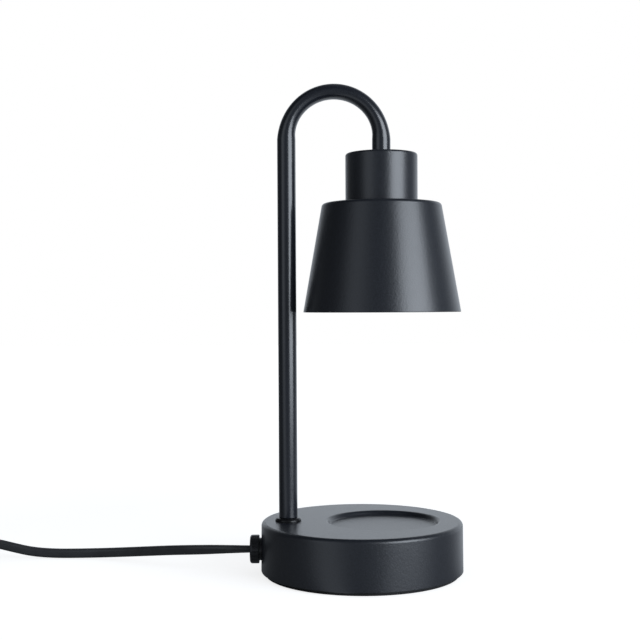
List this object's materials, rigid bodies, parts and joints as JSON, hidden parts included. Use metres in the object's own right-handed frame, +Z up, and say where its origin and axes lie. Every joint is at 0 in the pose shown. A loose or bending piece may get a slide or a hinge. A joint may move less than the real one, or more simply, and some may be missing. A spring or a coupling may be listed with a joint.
{
  "type": "candle warmer lamp",
  "caption": "Candle warmer lamp: weighted round base with a candle well, bent tube arm, cone shade over a reflector bulb, and a flat cord with dimmer and plug.",
  "frame": {"origin": "centre of the base's underside, on the table", "axes": "+Z up; +X from the arm's foot towards the shade; the cord leaves the base at -X"},
  "size_m": [0.4663, 0.1207, 0.2918],
  "materials": {
    "powder_coat": "satin black powder coat with a fine grain",
    "gloss_black": "gloss black lacquer",
    "cast_weight": "raw cast iron",
    "zinc_steel": "zinc plated",
    "pad_foam": "matt black foam rubber",
    "ceramic_white": "unglazed white ceramic",
    "contact_brass": "plain brass",
    "plated_pins": "nickel plated",
    "reflector_glass": "pressed glass with a bright inner coating",
    "lens_glass": "clear pressed glass",
    "burner_glass": "clear quartz",
    "black_nylon": "moulded black nylon",
    "soft_rubber": "matt black rubber",
    "cord_sheath": "satin black flexible sheath",
    "core_insulation": "plain wire insulation",
    "lead_brown": "brown wire insulation",
    "lead_blue": "blue wire insulation",
    "clear_nylon": "natural nylon",
    "dimmer_plastic": "fine grained black plastic",
    "wheel_plastic": "smooth dark plastic",
    "board_laminate": "bare laminate",
    "component_dark": "moulded case",
    "component_yellow": "film capacitor case",
    "plug_plastic": "moulded black plastic"
  },
  "bodies": {
    "lamp": {"base_shell": "powder_coat", "arm_tube": "powder_coat", "holder_cup": "powder_coat", "shade": "powder_coat", "post_collar": "gloss_black", "base_weight": "cast_weight", "bottom_cover": "zinc_steel", "cover_standoffs": "zinc_steel", "cover_screws": "zinc_steel", "base_nut": "zinc_steel", "base_lock_washer": "zinc_steel", "cup_nut": "zinc_steel", "cup_lock_washer": "zinc_steel", "lower_nipple": "zinc_steel", "upper_nipple": "zinc_steel", "holder_bracket": "zinc_steel", "holder_screws": "zinc_steel", "holder_nuts": "zinc_steel", "dimmer_case_screws": "zinc_steel", "foot_pad": "pad_foam", "lampholder_body": "ceramic_white", "lampholder_lid": "ceramic_white", "lampholder_contacts": "contact_brass", "plug_pins": "plated_pins", "gland_body": "black_nylon", "gland_cap": "black_nylon", "gland_nut": "black_nylon", "plug_pin_sleeves": "black_nylon", "gland_sleeve": "soft_rubber", "dimmer_grommets": "soft_rubber", "cord_ties": "soft_rubber", "cord_tail": "cord_sheath", "cord_lamp_run": "cord_sheath", "cord_dimmer_run": "cord_sheath", "cord_coil": "cord_sheath", "cord_plug_run": "cord_sheath", "dimmer_cord_tails": "cord_sheath", "cord_cores": "core_insulation", "lamp_lead_live": "lead_brown", "lamp_lead_neutral": "lead_blue", "wire_splices": "clear_nylon", "wire_bush": "clear_nylon", "dimmer_lower_case": "dimmer_plastic", "dimmer_upper_case": "dimmer_plastic", "dimmer_board": "board_laminate", "dimmer_potentiometer": "component_dark", "dimmer_triac": "component_dark", "dimmer_capacitor": "component_yellow", "plug_body": "plug_plastic", "plug_strain_relief": "plug_plastic"},
    "bulb": {"bulb_base": "ceramic_white", "bulb_pins": "plated_pins", "bulb_reflector": "reflector_glass", "bulb_lens": "lens_glass", "bulb_burner": "burner_glass"},
    "wheel": {"dimmer_wheel": "wheel_plastic", "dimmer_shaft": "zinc_steel"}
  },
  "joints": [
    {"name": "bulb_twist", "type": "hinge", "parent": "lamp", "child": "bulb", "pos_m": [0.0126, 0, 0.2188], "axis": [0, 0, -1], "range_deg": [0, 25]},
    {"name": "dimmer_turn", "type": "hinge", "parent": "lamp", "child": "wheel", "pos_m": [-0.277, 0.0475, 0.0105], "axis": [0, 0, 1], "range_deg": [0, 270]}
  ]
}
